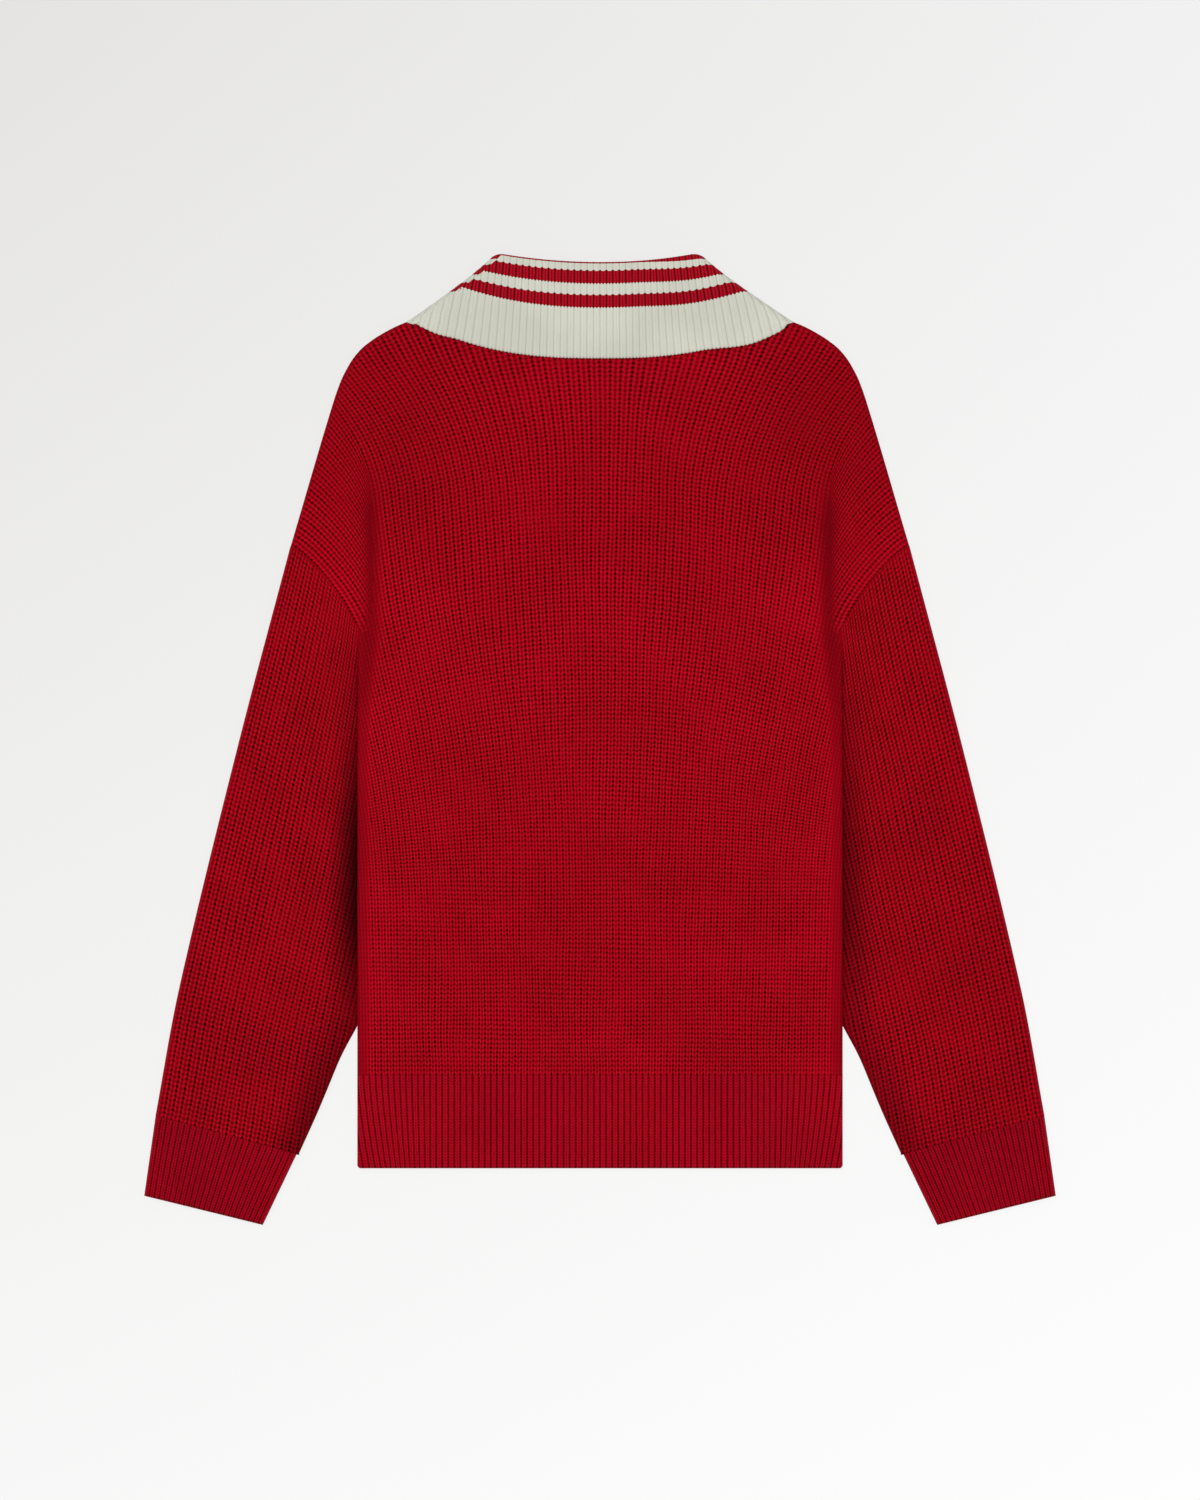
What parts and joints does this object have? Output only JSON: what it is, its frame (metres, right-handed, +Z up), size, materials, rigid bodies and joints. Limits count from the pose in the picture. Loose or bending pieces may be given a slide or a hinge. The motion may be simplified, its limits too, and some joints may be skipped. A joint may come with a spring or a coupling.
{
  "type": "zip fisherman sweater",
  "caption": "Thick half-zip sweater in fisherman rib with dropped shoulders and a wide folded collar with stripes, laid flat on its front with its back up.",
  "frame": {"origin": "on the surface that the garment lies on, in the middle of its outline", "axes": "+Y runs from the hem to the collar, +Z is up out of the back panel, which lies on top, and +X is towards the wearer's right"},
  "size_m": [0.7288, 0.7757, 0.0129],
  "materials": {
    "red_knit": "half-cardigan rib in thick red wool, ribbed bands in the same yarn",
    "cream_rib": "cream wool rib with red stripes along the top of the fall",
    "zip_tape": "woven tape, dark red",
    "zip_metal": "satin nickel"
  },
  "bodies": {
    "garment": {"back": "red_knit", "front": "red_knit", "hem_rib_back": "red_knit", "hem_rib_front": "red_knit", "sleeve_left": "red_knit", "sleeve_right": "red_knit", "cuff_left": "red_knit", "cuff_right": "red_knit", "collar": "cream_rib", "zip_tape": "zip_tape", "zip_slider": "zip_metal"},
    "pull_tab": {"zip_pull_tab": "zip_metal"}
  },
  "joints": [
    {"name": "pull_tab_hinge", "type": "hinge", "parent": "garment", "child": "pull_tab", "pos_m": [0, 0.2735, 0.0017], "axis": [1, 0, 0], "range_deg": [0, 170]}
  ]
}
